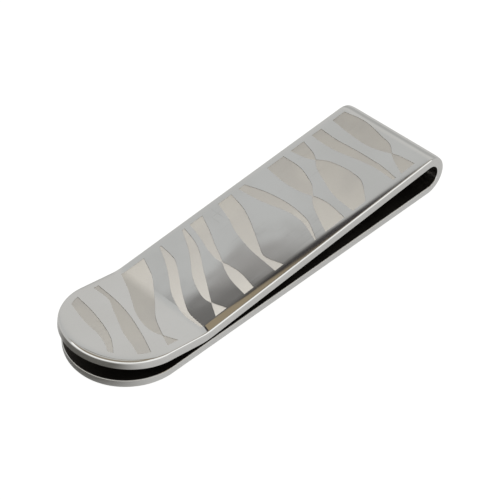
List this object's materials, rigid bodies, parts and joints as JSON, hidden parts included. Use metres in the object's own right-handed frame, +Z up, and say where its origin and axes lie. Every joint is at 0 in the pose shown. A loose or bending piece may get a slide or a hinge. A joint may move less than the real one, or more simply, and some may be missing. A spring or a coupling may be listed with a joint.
{
  "type": "money clip",
  "caption": "Folded spring-steel money clip with a rounded thumb lip, a nip that grips notes and a pattern of twisting ribbons etched into the polished front leaf.",
  "frame": {"origin": "centre of the bounding box's base, under the middle of the back leaf", "axes": "+X along the clip from the lip to the fold, +Y across it, +Z up from the back leaf to the front leaf"},
  "size_m": [0.0572, 0.016, 0.0059],
  "materials": {
    "polished_steel": "mirror polished stainless spring steel",
    "etched_steel": "fine matt etch in the same steel"
  },
  "bodies": {
    "back": {"back_leaf": "polished_steel", "fold_back_half": "polished_steel"},
    "front": {"fold_front_half": "polished_steel", "front_leaf": "polished_steel", "nip_bend": "polished_steel", "thumb_lip": "polished_steel", "etched_ribbons": "etched_steel"}
  },
  "joints": [
    {"name": "leaf_open", "type": "hinge", "parent": "back", "child": "front", "pos_m": [0.0286, 0, 0.00295], "axis": [0, 1, 0], "range_deg": [-0.3, 6], "stiffness_Nm_per_rad": 17}
  ]
}
